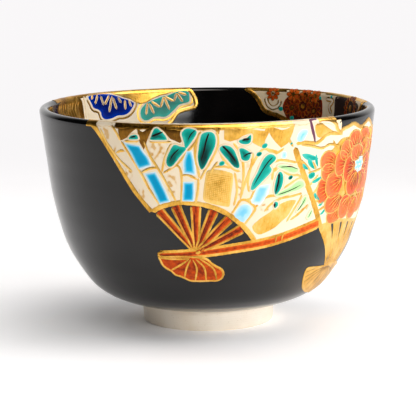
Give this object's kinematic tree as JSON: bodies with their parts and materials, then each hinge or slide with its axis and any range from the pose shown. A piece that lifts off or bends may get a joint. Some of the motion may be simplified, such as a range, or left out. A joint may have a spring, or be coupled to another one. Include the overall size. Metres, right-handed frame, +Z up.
{
  "type": "tea bowl",
  "caption": "Deep tea bowl with a rounded lip and gently flaring wall on a low unglazed foot ring, black glazed with gold and enamel fans.",
  "frame": {"origin": "centre of the circle that the foot ring stands on, at the bowl's base", "axes": "+Z up along the bowl's own axis, +X to the right of someone who faces the main fan, -Y out of the wall at the main fan"},
  "size_m": [0.1224, 0.1224, 0.0796],
  "materials": {
    "black_glaze": "gloss",
    "bare_clay": "matte",
    "gilding": "satin",
    "white_enamel": "satin",
    "coloured_enamel": "gloss"
  },
  "bodies": {
    "root": {"tea_bowl": "black_glaze"}
  },
  "joints": []
}
